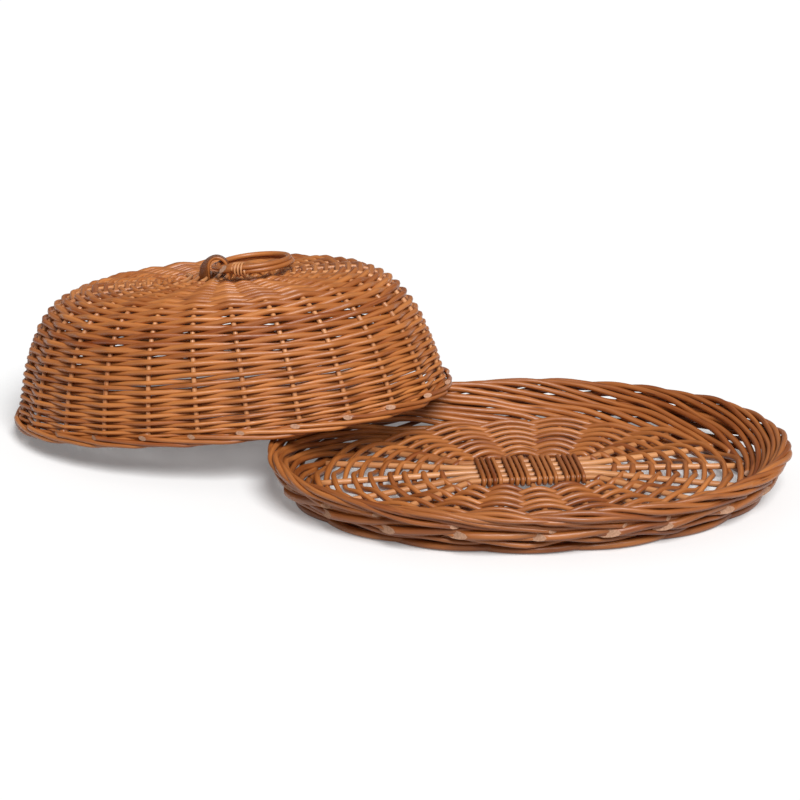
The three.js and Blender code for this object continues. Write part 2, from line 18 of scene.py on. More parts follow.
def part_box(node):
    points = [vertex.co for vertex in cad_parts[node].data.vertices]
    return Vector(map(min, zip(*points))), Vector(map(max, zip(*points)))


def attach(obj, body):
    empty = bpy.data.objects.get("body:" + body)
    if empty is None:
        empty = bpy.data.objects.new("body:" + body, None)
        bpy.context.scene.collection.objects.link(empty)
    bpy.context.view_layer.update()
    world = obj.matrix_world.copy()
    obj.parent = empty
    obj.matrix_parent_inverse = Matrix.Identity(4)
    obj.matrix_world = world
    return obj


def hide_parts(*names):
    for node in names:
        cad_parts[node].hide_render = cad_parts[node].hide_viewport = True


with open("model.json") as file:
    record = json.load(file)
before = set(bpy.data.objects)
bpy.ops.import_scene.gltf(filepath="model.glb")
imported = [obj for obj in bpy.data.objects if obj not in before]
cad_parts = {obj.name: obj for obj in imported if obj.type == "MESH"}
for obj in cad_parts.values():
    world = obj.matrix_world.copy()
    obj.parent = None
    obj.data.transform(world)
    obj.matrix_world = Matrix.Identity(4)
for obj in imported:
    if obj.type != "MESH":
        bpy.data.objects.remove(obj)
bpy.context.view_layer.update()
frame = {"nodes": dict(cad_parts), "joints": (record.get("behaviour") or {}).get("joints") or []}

# Tray wall, of rods in pairs. Both rods rise inside, cross the rim and wind down the outside. One is
# cut off there, and the other sinks behind the next pairs and runs on to just above the foot. The
# pairs' butts slant up behind them from cuts low on the outside. A pitch is the way from one pair to
# the next, and a place on the wall is an inset from the tray's outline and a height.
TRAY_HALF_LENGTH = 0.210
TRAY_HALF_WIDTH = 0.1625
ROD_COUNT = 20
ROD_ROOT = (0.03455, 0.00925)
ROD_TAIL = (0.0200, 0.00925)
ROD_STATIONS = 10
ROD_ROUNDING = 2
ROD_SWAY_IN = 0.0005
ROD_SWAY_IN_WAVE = 3.1
ROD_SWAY_UP = 0.0010
ROD_SWAY_UP_WAVE = 2.6
RIM_MIDDLE = (0.00675, 0.03275)
RIM_RADIUS = 0.0040
RIM_START = math.radians(20)
RIM_END = math.radians(165)
RISE_PITCHES = 3.0
RIM_PITCHES = 1.0
OUTER_STEP = 0.0075
LOWEST_PITCH = 7.85
PAIR_RADIUS = 0.0026
PAIR_SIZES = (0.88, 1.08)
PAIR_TIP_SHARE = 0.80
PAIR_OFFSETS = (-0.25, 0.25)
PAIR_STRAY = 0.07
PAIR_START = -0.12
PAIR_ENDS = ((8.3, 8.7), (5.25, 5.75))
SINK_PITCHES = (3.6, 4.6, 6.2, 7.0, 7.9, 8.4)
SINKS = (0.0, 0.0028, 0.0028, -0.0020, -0.0010, 0.0060)
TIP_CUTS = (1.5, 2.1)
BUTT_RADIUS = 0.0034
BUTT_TIP_SHARE = 0.85
BUTT_PLACES = (5.40, 5.65)
BUTT_STEPS = (0.0, 0.5, 1.2, 2.8)
BUTT_FALLS = (0.67, 0.58, 0.47, 0.36)
BUTT_TUCKS = (-0.0030, -0.0012, 0.0035, 0.0055)
BUTT_CUTS = (2.2, 2.8)

# Tray foot: a wale of three rods that roll over one another
FOOT_INSET = 0.0305
FOOT_SWING = 0.0078
FOOT_STRAND_RADIUS = 0.0031
FOOT_HEIGHT = 0.0072
FOOT_STRANDS = 3
FOOT_ROLLS = 5
FOOT_STATIONS = 240

# Tray floor: sticks that cross in the middle and fan out, and the weavers round them
FLOOR_HALF_LENGTH = 0.172
FLOOR_HALF_WIDTH = 0.1245
FLOOR_HEIGHT = 0.0108
STICK_RADIUS = 0.0025
STICK_END_GAP = 0.0030
STICK_STATIONS = 9
CROSSING_SAMPLES = 200
CROSS_STICKS = 5
CROSS_STICK_SPACING = 0.022
CROSS_STICK_HEIGHT = 0.0090
LONG_STICKS = 5
LONG_STICK_SPACING = 0.010
LONG_STICK_HEIGHT = 0.0143
FLOOR_ROWS = 15
FLOOR_FIRST_ROW = (0.0693, 0.0354)
FLOOR_LAST_ROW = (0.1690, 0.1215)
FLOOR_ROW_STRAY = 0.016
FLOOR_ROW_SWAY = 0.0006
FLOOR_WEAVER_RADIUS = 0.0025
FLOOR_WEAVER_SIZES = (0.82, 1.05)
FLOOR_SWING_SHARE = 0.75
WRAP_RADIUS = 0.0017
WRAPS_BETWEEN = 4
WRAP_STATIONS = 32
WRAP_SQUARENESS = 0.5

# Cover: a dome on 24 stake ends. Its side is a curve from the edge to the crown, drawn by two pulls.
COVER_HALF_LENGTH = 0.1855
COVER_HALF_WIDTH = 0.1380
COVER_HEIGHT = 0.1135
CROWN_RISE = 0.0015
CROWN_INSET = 0.085
WALL_PULL = (0.013995, 0.072)
SHOULDER_PULL = (0.034, 0.112)
PROFILE_SAMPLES = 401
STAKE_ENDS = 24
STAKE_DEPTH = 0.0054
STAKE_REACH = (0.03, 0.97)
STAKE_SIDE_STATIONS = 22
STAKE_CROWN_STATIONS = 12
SLATH_INSET = 0.045
SLATH_SLOPE = 0.012
LONG_RIB_PAIRS = 2
CROSS_RIB_PAIRS = 3
RIB_RADIUS = 0.0021
RIB_THIN_SHARE = 0.75
RIB_THIN_REACH = 0.45

# Cover weave: rows of weavers that go before one stake and behind the next, finer towards the border
GAP_STATIONS = 12
WEAVER_BEND = 0.985
WEAVER_STIFFNESS = 4.0
WOVEN_FROM = 0.011
WALL_ROWS = 36
FIRST_ROW = -3
SHOULDER_ROW = 24
LOW_ROW_PITCH = 0.0027
WEAVE_SWING = 0.0032
WEAVER_FILL = 0.565
SHOULDER_FILL = 0.505
WEAVER_SIZES = (0.95, 1.07)
WEAVER_TAPER = 0.08
ROW_SWAY = 0.35
ROW_STRAY = 0.05
SWAY_WAVE = 0.5
SWAY_ROWS = 6
SWAY_BANDS = WALL_ROWS // SWAY_ROWS + 2
CROWN_SLATH = 0.016
CROWN_ROWS = 14
CROWN_SWING = 0.0018
CROWN_FILL = 0.44
CROWN_SIZES = (0.92, 1.06)
CROWN_STRAY = 0.0003
CROWN_HALF_LENGTH = COVER_HALF_LENGTH - CROWN_INSET
CROWN_HALF_WIDTH = COVER_HALF_WIDTH * CROWN_HALF_LENGTH / COVER_HALF_LENGTH
CROWN_PITCH = (CROWN_HALF_WIDTH - CROWN_SLATH) / (CROWN_ROWS - 1)

# Cover border: each stake end runs behind one stake, turns under and lies outside, cut off. Its insets
# and heights are given at steps from stake to stake.
BORDER_RADIUS = 0.0020
BORDER_ROOT_SHARE = 0.95
BORDER_STATIONS = 8
BORDER_ROUNDING = 1
BORDER_ENDS = (3.05, 3.30)
BORDER_STEPS = (0.0, 0.25, 0.90, 1.05, 1.20, 1.40, 3.20)
BORDER_INSETS = (0.0060, 0.0085, 0.0085, 0.0062, 0.0035, 0.0024, 0.0020)
BORDER_HEIGHTS = (0.0125, 0.0085, 0.0034, 0.0021, 0.0021, 0.0026, 0.0096)
BORDER_SWAY = 0.00025
BORDER_SWAY_WAVE = 1.7

# Handle strap: flat, bent over the ring, with its legs through the crown. The legs are left and right.
HINGE_HEIGHT = 0.1193
STRAP_INNER = 0.0070
STRAP_THICKNESS = 0.0028
STRAP_WIDTH = 0.0125
STRAP_FOOT = 0.1060
STRAP_TURN = math.radians(15)
STRAP_LEANS = (0.0042, 0.0026)
STRAP_TWISTS = (math.radians(48), math.radians(-12))
STRAP_STATIONS = 15
STRAP_RIM_ANGLE = math.radians(60)
STRAP_ROUNDING = STRAP_THICKNESS * 0.35
STRAP_ROUNDING_STEPS = 2
BARK_FACING = 0.5

# Handle ring: one rod wound round twice, with a thick butt, and the skein that binds it. The butt's
# radii are given at shares of the way from its cut to the binding.
RING_RADIUS = 0.031
RING_ROUNDS = 2
RING_STATIONS = 200
RING_LIFT = 0.0011
STRAND_RADIUS = 0.0023
STRAND_OFFSET = 0.0019
STRAND_ROLL = 0.5
STRAND_TIP_RADIUS = 0.8 * STRAND_RADIUS
RING_BUTT_RADIUS = 0.0042
RING_BUTT_ANGLE = math.radians(237)
RING_BUTT_PHASE = math.radians(40)
RING_BUTT_STRAIGHT = 1.0
RING_CUT_RADIUS = 0.0029
RING_CUT_FACING = (-0.1, -0.75, 0.65)
RING_CUT_SLOPE = 1.5
RING_BUTT_SHARES = (0.0, 0.4, 0.6, 1.0, 2.0)
RING_BUTT_RADII = (
    RING_CUT_RADIUS,
    RING_BUTT_RADIUS,
    0.97 * RING_BUTT_RADIUS,
    1.15 * STRAND_RADIUS,
    STRAND_RADIUS,
)
BINDING_ANGLE = math.radians(261)
BINDING_WIDTH = 0.0095
BINDING_TURNS = 4
BINDING_RADIUS = 0.0009
BINDING_STATIONS = 16
BINDING_TONE = 0.8

# Grain of the willow: waves in a metre along a rod, how far they change round it, and their detail
STREAKS = (42.0, 1.7, 4.0)
BLOTCHES = (13.0, 0.35, 2.0)
FIBRES = (160.0, 6.0, 2.0)
SCARS = (17.0, 0.45)
SCAR_EDGES = (0.13, 0.06)
SCAR_TINT = (0.45, 0.36, 0.30)
GRAIN_LENGTH = 20.0

# What a rod's tone and its grain do to its shade, its roughness and its relief
TONE_SHADE = 0.24
STREAK_SHADE = 0.85
BLOTCH_SHADE = 0.95
FIBRE_SHADE = 0.25
SHADE_TAKEN_OFF = 0.55
BARK_ROUGHNESS = 0.28
FIBRE_ROUGHNESS = 0.22
SCAR_ROUGHNESS = 0.2
STREAK_HEIGHT = 0.5
GRAIN_DEPTH = 0.0004
BARK_RELIEF = 0.35
BARK_GLOSS = 0.6
STRAP_RELIEF = 0.6
STRAP_GLOSS = 0.25
CUT_ROUGHNESS = 0.75
CUT_GRAIN = (700.0, 3.0)
CUT_COLOURS = ((0.3, (0.46, 0.25, 0.155)), (0.7, (0.71, 0.43, 0.285)))

# Studio
WHITE = (1.0, 1.0, 1.0)
FLOOR_REACH = 6.0
FLOOR_THROWN = (0.31, 0.25, 0.19)
FLOOR_GLOW = 0.18
SKY_STRENGTH = 0.23
KEY_STRENGTH = 3.45
KEY_SPREAD = math.radians(30)
KEY_WAY = (-0.30, 1.3, -1.45)

# Camera, in the photo's frame of 800 x 800 pixels
VIEW_ELEVATION = math.radians(19.10)
VIEW_AZIMUTH = math.radians(-6.69)
VIEW_DISTANCE = 2.24726
VIEW_RIGHT = -0.10247
VIEW_UP = 0.06949
LENS_PIXELS = 2826.33
IMAGE_PIXELS = 800
SENSOR_WIDTH = 36.0

# Shared by the sections below: turns and sways, the mirror from one half of a stick or rib to the
# other, how fine the meshes are, and where Blender's Mix node has its colour sockets
FULL_TURN = 2.0 * math.pi
QUARTER_ROUND = 0.25
ARC_SAMPLES = 1441
SWAY_SHARES = (1.0, 0.62, 0.37)
OTHER_HALF = {"long": np.array([-1.0, 1.0, 1.0]), "cross": np.array([1.0, -1.0, 1.0])}
WEAVER_FINENESS = 2
ROD_FINENESS = 3
SEAM_DISTANCE = 1e-6
CUT_CLEARANCE = 1.1
END_FACE_CORNERS = 3
BARK, CUT, SPLIT = 0, 1, 2
MIX_INPUTS = (0, 6, 7)
MIX_OUTPUT = 2

draw = random.Random(11)


# Paths


def arc_angles(half_length, half_width, shares):
    """Angles on an oval, at these shares of the way round it from the X axis."""
    angles = np.linspace(0.0, FULL_TURN, ARC_SAMPLES)
    speeds = np.hypot(half_length * np.sin(angles), half_width * np.cos(angles))
    travelled = np.concatenate([[0.0], np.cumsum((speeds[1:] + speeds[:-1]) / 2.0)])
    rounds = np.floor(shares)
    return np.interp(shares - rounds, travelled / travelled[-1], angles) + FULL_TURN * rounds


def oval_points(half_lengths, half_widths, angles, heights):
    """Points at these angles on ovals of these half sizes, at these heights."""
    return np.column_stack(
        [half_lengths * np.cos(angles), half_widths * np.sin(angles), heights + 0.0 * angles]
    )


def oval_outward(point, half_length, half_width):
    """The level direction that faces squarely out of an oval at this point."""
    outward = np.array([point[0] / half_length**2, point[1] / half_width**2, 0.0])
    return outward / np.linalg.norm(outward)


def wander(places, size, wave):
    """A slow sway along these places, drawn at random, of about this size and wave length."""
    sway = np.zeros(len(places))
    for share in SWAY_SHARES:
        sway += share * np.sin(FULL_TURN * (places / (wave * share) + draw.random()))
    return size * sway


def smoothed(values, reach):
    """The values with their corners rounded over this many neighbours on each side."""
    window = np.ones(2 * reach + 1) / (2 * reach + 1)
    padded = np.concatenate([np.full(reach, values[0]), values, np.full(reach, values[-1])])
    return np.convolve(padded, window, mode="valid")


def placed(matrix, path):
    """The path moved from a piece's own frame to the object's frame."""
    turn = np.array(matrix.to_3x3())
    return path @ turn.T + np.array(matrix.translation)


def cleared(path, radii, slope):
    """The path and its radii without the places that a cut of this slope takes away before its end."""
    radii = np.broadcast_to(radii, len(path))
    steps = np.linalg.norm(np.diff(path, axis=0), axis=1)
    left = np.append(np.cumsum(steps[::-1])[::-1], 0.0)
    kept = left > CUT_CLEARANCE * slope * radii[-1]
    kept[-1] = True
    return path[kept], radii[kept]


# Lengths of willow


def tube(path, radii, closed, fineness):
    """A mesh of one round length along path, with flat ends unless it is closed."""
    curve = bpy.data.curves.new("willow", "CURVE")
    curve.dimensions = "3D"
    curve.bevel_depth = 1.0
    curve.bevel_resolution = fineness
    curve.use_fill_caps = not closed
    spline = curve.splines.new("POLY")
    spline.points.add(len(path) - 1)
    spline.points.foreach_set("co", np.column_stack([path, np.ones(len(path))]).ravel())
    spline.points.foreach_set("radius", np.broadcast_to(radii, len(path)).ravel())
    spline.use_cyclic_u = closed
    holder = bpy.data.objects.new("willow", curve)
    mesh = bpy.data.meshes.new_from_object(holder)
    bpy.data.objects.remove(holder)
    bpy.data.curves.remove(curve)
    return mesh


def lay_grain(mesh, path, closed):
    """Makes the UV map run in metres along path, from a place in the grain drawn at random."""
    line = np.vstack([path, path[:1]]) if closed else path
    lengths = np.concatenate([[0.0], np.cumsum(np.linalg.norm(np.diff(line, axis=0), axis=1))])
    stations = np.arange(len(lengths))
    places = np.empty(2 * len(mesh.loops), np.float32)
    mesh.uv_layers[0].data.foreach_get("uv", places)
    places = places.reshape(-1, 2)
    metres = np.interp(places[:, 0] * stations[-1], stations, lengths)
    places[:, 0] = metres + GRAIN_LENGTH * draw.random()
    mesh.uv_layers[0].data.foreach_set("uv", places.ravel())


def show_cut_ends(mesh):
    """Gives the triangles of the flat ends the cut finish, and makes the round of the rod smooth."""
    corners = np.empty(len(mesh.polygons), np.int32)
    mesh.polygons.foreach_get("loop_total", corners)
    ends = corners == END_FACE_CORNERS
    mesh.polygons.foreach_set("material_index", np.where(ends, CUT, BARK).astype(np.int32))
    mesh.polygons.foreach_set("use_smooth", ~ends)


def slant_end(mesh, path, facing, slope):
    """Pushes the vertices at the end of path along it, so that its cut slants to this facing."""
    points = np.empty(3 * len(mesh.vertices), np.float32)
    mesh.vertices.foreach_get("co", points)
    points = points.reshape(-1, 3).astype(float)
    end = path[-1]
    along = end - path[-2]
    along /= np.linalg.norm(along)
    at_end = np.abs((points - end) @ along) < SEAM_DISTANCE
    points[at_end] -= np.outer(slope * ((points[at_end] - end) @ facing), along)
    mesh.vertices.foreach_set("co", points.astype(np.float32).ravel())


def sweep(bm, path, radii, closed=False, fineness=WEAVER_FINENESS, tone=None, cut=None):
    """Adds one round length of willow to bm. cut is the way its far end's cut faces and its slope."""
    if cut:
        path, radii = cleared(path, radii, cut[1])
    mesh = tube(path, radii, closed, fineness)
    lay_grain(mesh, path, closed)
    show_cut_ends(mesh)
    if cut:
        slant_end(mesh, path, *cut)
    tones = mesh.attributes.new("tone", "FLOAT", "POINT")
    value = draw.uniform(-1.0, 1.0) if tone is None else tone
    tones.data.foreach_set("value", np.full(len(mesh.vertices), value, np.float32))
    bm.from_mesh(mesh)
    bpy.data.meshes.remove(mesh)


def new_object(name, bm, *materials):
    """A new object at the origin, with its mesh from bm and these materials."""
    mesh = bpy.data.meshes.new(name)
    bm.to_mesh(mesh)
    bm.free()
    for material in materials:
        mesh.materials.append(material)
    made = bpy.data.objects.new(name, mesh)
    bpy.context.scene.collection.objects.link(made)
    return made


def finish_piece(name, bm, bark, slot, body, *nodes):
    """Makes bm one piece that rides on a body and stands for these nodes."""
    bmesh.ops.remove_doubles(bm, verts=bm.verts, dist=SEAM_DISTANCE)
    piece = new_object(name, bm, bark, cut_willow)
    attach(piece, body)
    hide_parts(*nodes)
    return piece


# Finishes


def feed(tree, value, socket):
    """Gives a socket its value: a plain number, a colour, or the output of another node."""
    if isinstance(value, (int, float)):
        socket.default_value = value
    elif isinstance(value, tuple):
        socket.default_value = (*value, 1.0)
    else:
        tree.links.new(value, socket)


def math_node(tree, operation, *values, clamp=False):
    """The output of a Math node of this operation on one or two values."""
    node = tree.nodes.new("ShaderNodeMath")
    node.operation = operation
    node.use_clamp = clamp
    for value, socket in zip(values, node.inputs):
        feed(tree, value, socket)
    return node.outputs[0]


def colour_mix(tree, share, first, second, blend="MIX"):
    """The output of a Mix node that goes from one colour to another."""
    node = tree.nodes.new("ShaderNodeMix")
    node.data_type = "RGBA"
    node.blend_type = blend
    for value, place in zip((share, first, second), MIX_INPUTS):
        feed(tree, value, node.inputs[place])
    return node.outputs[MIX_OUTPUT]


def shader_mix(tree, share, first, second):
    """The output of a Mix Shader node that goes from one shader to another."""
    node = tree.nodes.new("ShaderNodeMixShader")
    for value, socket in zip((share, first, second), node.inputs):
        feed(tree, value, socket)
    return node.outputs[0]


def coloured(tree, kind, colour):
    """The output of a plain shader node of this kind and colour."""
    node = tree.nodes.new(kind)
    feed(tree, colour, node.inputs["Color"])
    return node.outputs[0]


def rod_place(tree, along, around, per_metre, per_round):
    """A place on a rod for a pattern that is stretched along it and closed round it."""
    place = tree.nodes.new("ShaderNodeCombineXYZ")
    feed(tree, math_node(tree, "MULTIPLY", along, per_metre), place.inputs["X"])
    for part, axis in zip(around, "YZ"):
        feed(tree, math_node(tree, "MULTIPLY", part, per_round), place.inputs[axis])
    return place.outputs[0]


def rod_noise(tree, along, around, per_metre, per_round, detail):
    """Noise from 0 to 1 on a rod, stretched along it and closed round it."""
    noise = tree.nodes.new("ShaderNodeTexNoise")
    feed(tree, 1.0, noise.inputs["Scale"])
    feed(tree, detail, noise.inputs["Detail"])
    feed(tree, rod_place(tree, along, around, per_metre, per_round), noise.inputs["Vector"])
    return noise.outputs["Fac"]


def leaf_scars(tree, along, around):
    """A mask of the small scars that leaves have left on a rod."""
    spots = tree.nodes.new("ShaderNodeTexVoronoi")
    feed(tree, 1.0, spots.inputs["Scale"])
    feed(tree, rod_place(tree, along, around, *SCARS), spots.inputs["Vector"])
    mask = tree.nodes.new("ShaderNodeMapRange")
    for value, name in zip(SCAR_EDGES, ("From Min", "From Max")):
        feed(tree, value, mask.inputs[name])
    feed(tree, spots.outputs["Distance"], mask.inputs["Value"])
    return mask.outputs["Result"]


def build_willow_grain():
    """Peeled willow on a rod's UV map: long streaks, blotches, leaf scars and each rod's own tone."""
    group = bpy.data.node_groups.new("willow grain", "ShaderNodeTree")
    for name, way, kind in (
        ("Deep", "INPUT", "NodeSocketColor"),
        ("Light", "INPUT", "NodeSocketColor"),
        ("Color", "OUTPUT", "NodeSocketColor"),
        ("Roughness", "OUTPUT", "NodeSocketFloat"),
        ("Height", "OUTPUT", "NodeSocketFloat"),
    ):
        group.interface.new_socket(name, in_out=way, socket_type=kind)
    inputs = group.nodes.new("NodeGroupInput")
    outputs = group.nodes.new("NodeGroupOutput")
    rod = group.nodes.new("ShaderNodeUVMap")
    rod.uv_map = "UVMap"
    split = group.nodes.new("ShaderNodeSeparateXYZ")
    feed(group, rod.outputs[0], split.inputs[0])
    along = split.outputs["X"]
    angle = math_node(group, "MULTIPLY", split.outputs["Y"], FULL_TURN)
    around = (math_node(group, "COSINE", angle), math_node(group, "SINE", angle))
    streaks = rod_noise(group, along, around, *STREAKS)
    blotches = rod_noise(group, along, around, *BLOTCHES)
    fibres = rod_noise(group, along, around, *FIBRES)
    scars = leaf_scars(group, along, around)
    tone = group.nodes.new("ShaderNodeAttribute")
    tone.attribute_name = "tone"

    shade = math_node(group, "MULTIPLY", tone.outputs["Fac"], TONE_SHADE)
    for pattern, share in ((streaks, STREAK_SHADE), (blotches, BLOTCH_SHADE), (fibres, FIBRE_SHADE)):
        shade = math_node(group, "ADD", shade, math_node(group, "MULTIPLY", pattern, share))
    shade = math_node(group, "SUBTRACT", shade, SHADE_TAKEN_OFF, clamp=True)
    colour = colour_mix(group, shade, inputs.outputs["Deep"], inputs.outputs["Light"])
    colour = colour_mix(group, scars, colour, SCAR_TINT, blend="MULTIPLY")
    rough = math_node(group, "MULTIPLY", fibres, FIBRE_ROUGHNESS)
    rough = math_node(group, "ADD", rough, math_node(group, "MULTIPLY", scars, SCAR_ROUGHNESS))
    rough = math_node(group, "ADD", rough, BARK_ROUGHNESS)
    height = math_node(group, "ADD", math_node(group, "MULTIPLY", streaks, STREAK_HEIGHT), fibres)
    height = math_node(group, "ADD", height, scars)
    feed(group, colour, outputs.inputs["Color"])
    feed(group, rough, outputs.inputs["Roughness"])
    feed(group, height, outputs.inputs["Height"])
    return group


def new_finish(name):
    """A new material, with its nodes and its Principled shader."""
    material = bpy.data.materials.new(name)
    material.use_nodes = True
    tree = material.node_tree
    return material, tree, tree.nodes["Principled BSDF"]


def willow_finish(name, deep, light, relief=BARK_RELIEF, gloss=BARK_GLOSS):
    """A satin willow bark with its own two colours."""
    material, tree, bsdf = new_finish(name)
    grain = tree.nodes.new("ShaderNodeGroup")
    grain.node_tree = willow_grain
    feed(tree, deep, grain.inputs["Deep"])
    feed(tree, light, grain.inputs["Light"])
    bump = tree.nodes.new("ShaderNodeBump")
    feed(tree, relief, bump.inputs["Strength"])
    feed(tree, GRAIN_DEPTH, bump.inputs["Distance"])
    feed(tree, grain.outputs["Height"], bump.inputs["Height"])
    feed(tree, grain.outputs["Color"], bsdf.inputs["Base Color"])
    feed(tree, grain.outputs["Roughness"], bsdf.inputs["Roughness"])
    feed(tree, bump.outputs["Normal"], bsdf.inputs["Normal"])
    feed(tree, gloss, bsdf.inputs["Specular IOR Level"])
    return material


def build_cut_willow():
    """The pale wood of a cut end, with a little of the knife's unevenness."""
    material, tree, bsdf = new_finish("cut willow")
    place = tree.nodes.new("ShaderNodeTexCoord")
    noise = tree.nodes.new("ShaderNodeTexNoise")
    for value, name in zip(CUT_GRAIN, ("Scale", "Detail")):
        feed(tree, value, noise.inputs[name])
    feed(tree, place.outputs["Object"], noise.inputs["Vector"])
    ramp = tree.nodes.new("ShaderNodeValToRGB")
    for element, (position, colour) in zip(ramp.color_ramp.elements, CUT_COLOURS):
        element.position = position
        element.color = (*colour, 1.0)
    feed(tree, noise.outputs["Fac"], ramp.inputs["Fac"])
    feed(tree, ramp.outputs["Color"], bsdf.inputs["Base Color"])
    feed(tree, CUT_ROUGHNESS, bsdf.inputs["Roughness"])
    return material


willow_grain = build_willow_grain()
cut_willow = build_cut_willow()
weaver_willow = willow_finish("weaver willow", deep=(0.23, 0.047, 0.005), light=(0.65, 0.243, 0.062))
rod_willow = willow_finish("rod willow", deep=(0.20, 0.041, 0.004), light=(0.57, 0.202, 0.050))
stake_willow = willow_finish("stake willow", deep=(0.38, 0.130, 0.038), light=(0.76, 0.36, 0.145))
strap_bark = willow_finish(
    "strap bark",
    deep=(0.13, 0.034, 0.007),
    light=(0.30, 0.098, 0.026),
    relief=STRAP_RELIEF,
    gloss=STRAP_GLOSS,
)


# Tray

foot_low, foot_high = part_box("tray_foot_wale")
tray_middle = Vector(((foot_low.x + foot_high.x) / 2, (foot_low.y + foot_high.y) / 2, 0.0))
tray_frame = Matrix.Translation(tray_middle)


def on_tray(shares, insets, heights):
    """Points at these shares of the way round the tray, at these insets from its outline."""
    angles = arc_angles(TRAY_HALF_LENGTH, TRAY_HALF_WIDTH, shares)
    return oval_points(TRAY_HALF_LENGTH - insets, TRAY_HALF_WIDTH - insets, angles, heights)


def rim_place(angle):
    """Inset and height where a rod crosses the rim, at this angle from straight in."""
    return (
        RIM_MIDDLE[0] + RIM_RADIUS * np.cos(angle),
        RIM_MIDDLE[1] + RIM_RADIUS * np.sin(angle),
    )


def rod_section(pitches):
    """Inset and height of a rod at these pitches from its root."""
    crest = RISE_PITCHES + RIM_PITCHES
    rim_in = rim_place(RIM_START)
    rim_out = rim_place(RIM_END)
    fall = math.dist(rim_out, ROD_TAIL) / OUTER_STEP
    turned = np.clip((pitches - RISE_PITCHES) / RIM_PITCHES, 0.0, 1.0)
    over = rim_place(RIM_START + (RIM_END - RIM_START) * turned)
    columns = []
    for axis in range(2):
        column = np.where(
            pitches < RISE_PITCHES,
            ROD_ROOT[axis] + (rim_in[axis] - ROD_ROOT[axis]) * pitches / RISE_PITCHES,
            np.where(
                pitches < crest,
                over[axis],
                rim_out[axis] + (ROD_TAIL[axis] - rim_out[axis]) * (pitches - crest) / fall,
            ),
        )
        columns.append(smoothed(column, ROD_ROUNDING))
    return columns


def add_wall_rod(bm, pitches, insets, heights, place, radii, cuts):
    """Adds one length of a wall rod to bm, with its far end cut to face outward."""
    insets = insets + wander(pitches, ROD_SWAY_IN, ROD_SWAY_IN_WAVE)
    heights = heights + wander(pitches, ROD_SWAY_UP, ROD_SWAY_UP_WAVE)
    path = on_tray((place + pitches) / ROD_COUNT, insets, heights)
    outward = oval_outward(path[-1], TRAY_HALF_LENGTH, TRAY_HALF_WIDTH)
    cut = (outward, draw.uniform(*cuts))
    sweep(bm, placed(tray_frame, path), radii, fineness=ROD_FINENESS, cut=cut)


def add_rod_pair(bm, index):
    """Adds the two rods of a pair to bm. The first of them sinks behind the next pairs."""
    for offset, ends in zip(PAIR_OFFSETS, PAIR_ENDS):
        last = draw.uniform(*ends)
        pitches = np.linspace(PAIR_START, last, int((last - PAIR_START) * ROD_STATIONS))
        insets, heights = rod_section(np.minimum(pitches, LOWEST_PITCH))
        if offset == PAIR_OFFSETS[0]:
            insets = insets + smoothed(np.interp(pitches, SINK_PITCHES, SINKS), ROD_ROUNDING)
        radius = PAIR_RADIUS * draw.uniform(*PAIR_SIZES)
        radii = radius * np.linspace(1.0, PAIR_TIP_SHARE, len(pitches))
        place = index + offset + draw.uniform(-PAIR_STRAY, PAIR_STRAY)
        add_wall_rod(bm, pitches, insets, heights, place, radii, TIP_CUTS)


def add_rod_butt(bm, index):
    """Adds a pair's butt to bm, from behind the rods to its cut low on the outside."""
    rim_out = rim_place(RIM_END)
    first = draw.uniform(*BUTT_PLACES)
    steps = np.linspace(BUTT_STEPS[-1], 0.0, int(BUTT_STEPS[-1] * ROD_STATIONS))
    falls = smoothed(np.interp(steps, BUTT_STEPS, BUTT_FALLS), ROD_ROUNDING)
    tucks = smoothed(np.interp(steps, BUTT_STEPS, BUTT_TUCKS), ROD_ROUNDING)
    insets = rim_out[0] + (ROD_TAIL[0] - rim_out[0]) * falls + tucks
    heights = rim_out[1] + (ROD_TAIL[1] - rim_out[1]) * falls
    radii = BUTT_RADIUS * np.linspace(BUTT_TIP_SHARE, 1.0, len(steps))
    add_wall_rod(bm, first + steps, insets, heights, index, radii, BUTT_CUTS)


def make_tray_rods():
    """The pairs of rods of the wall, each pair a piece of its own with its butt."""
    for index in range(ROD_COUNT):
        bm = bmesh.new()
        add_rod_pair(bm, index)
        add_rod_butt(bm, index)
        name = f"tray_rod_{index + 1:02d}"
        finish_piece(name + "_willow", bm, rod_willow, "willow_rod", "tray", name)


def make_tray_foot():
    """The wale under the wall: three rods that roll over one another all the way round."""
    bm = bmesh.new()
    shares = np.linspace(0.0, 1.0, FOOT_STATIONS, endpoint=False)
    middle = FOOT_HEIGHT / 2
    lift = middle - FOOT_STRAND_RADIUS
    for strand in range(FOOT_STRANDS):
        roll = FULL_TURN * (FOOT_ROLLS * shares + strand / FOOT_STRANDS)
        insets = FOOT_INSET - FOOT_SWING * np.cos(roll)
        heights = middle + lift * np.sin(roll)
        path = placed(tray_frame, on_tray(shares, insets, heights))
        sweep(bm, path, FOOT_STRAND_RADIUS, closed=True)
    finish_piece("tray_foot_rods", bm, rod_willow, "willow_rod", "tray", "tray_foot_wale")


def floor_sticks():
    """Every floor stick's kind, its number and its place from the middle one."""
    for kind, count in (("cross", CROSS_STICKS), ("long", LONG_STICKS)):
        for index in range(count):
            yield kind, index + 1, index - (count - 1) / 2


